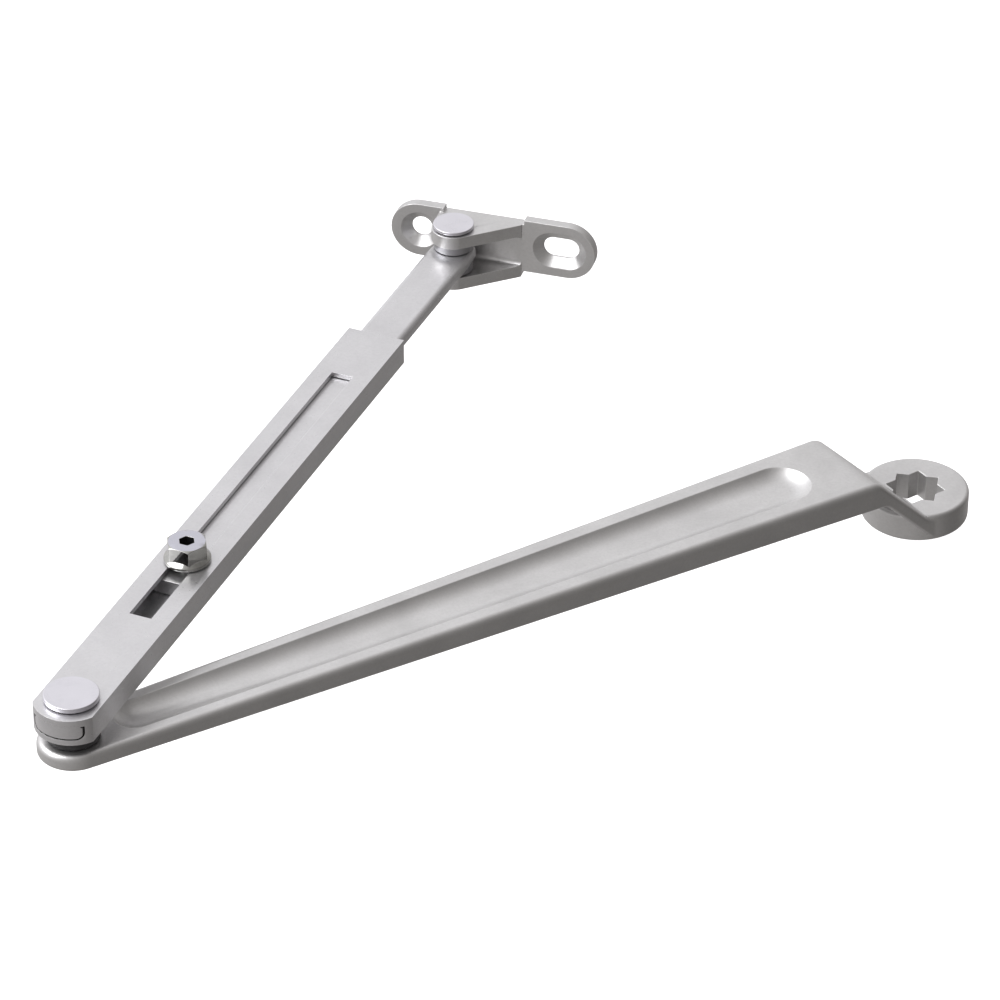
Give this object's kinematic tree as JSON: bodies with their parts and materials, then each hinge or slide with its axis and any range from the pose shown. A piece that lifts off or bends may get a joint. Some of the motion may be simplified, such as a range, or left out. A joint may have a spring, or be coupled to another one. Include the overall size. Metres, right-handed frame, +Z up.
{
  "type": "door closer arm",
  "caption": "Folding door closer arm: a flat arm with a star-socket hub, an adjustable telescopic forearm clamped by a flanged screw, and a pivoting frame bracket.",
  "frame": {"origin": "centre of the spindle socket, on the hub's underside", "axes": "+X along the frame bracket's plate towards its slotted hole, +Y towards the door frame, square to the bracket's back face, +Z up along the closer's spindle, away from the closer"},
  "size_m": [0.2586, 0.3392, 0.0565],
  "materials": {
    "silver_arm": "satin silver over steel, fine grain",
    "silver_forearm": "satin silver over drawn steel, crisp edges",
    "pin_steel": "turned, bright at the edges",
    "bright_screw": "bright plated",
    "dark_spacer": "dark, matte",
    "bronze": "sintered bronze, dull"
  },
  "bodies": {
    "arm": {"main_arm": "silver_arm", "elbow_bush": "bronze"},
    "sleeve": {"forearm_sleeve": "silver_forearm", "elbow_block": "silver_arm", "elbow_pin": "pin_steel", "elbow_spacer": "dark_spacer", "elbow_tail_washer": "pin_steel"},
    "bar": {"forearm_bar": "silver_forearm", "bar_bush": "bronze"},
    "screw": {"clamp_screw": "bright_screw"},
    "bracket": {"frame_bracket": "silver_arm", "bracket_pin": "pin_steel", "upper_washer": "pin_steel", "lower_washer": "pin_steel"}
  },
  "joints": [
    {"name": "elbow_pivot", "type": "hinge", "parent": "arm", "child": "sleeve", "pos_m": [-0.2267, -0.25714, 0.0382], "axis": [0, 0, 1], "range_deg": [-20, 140]},
    {"name": "bar_slide", "type": "slide", "parent": "sleeve", "child": "bar", "axis": [0.1097, 0.994, 0], "range_m": [-0.031, 0.123]},
    {"name": "clamp_screw_turn", "type": "hinge", "parent": "bar", "child": "screw", "pos_m": [-0.21721, -0.17116, 0.0482], "axis": [0, 0, 1], "range_deg": [0, 360]},
    {"name": "bracket_pivot", "type": "hinge", "parent": "bar", "child": "bracket", "pos_m": [-0.19213, 0.05596, 0.0433], "axis": [0, 0, 1], "range_deg": [-81, 69]}
  ]
}
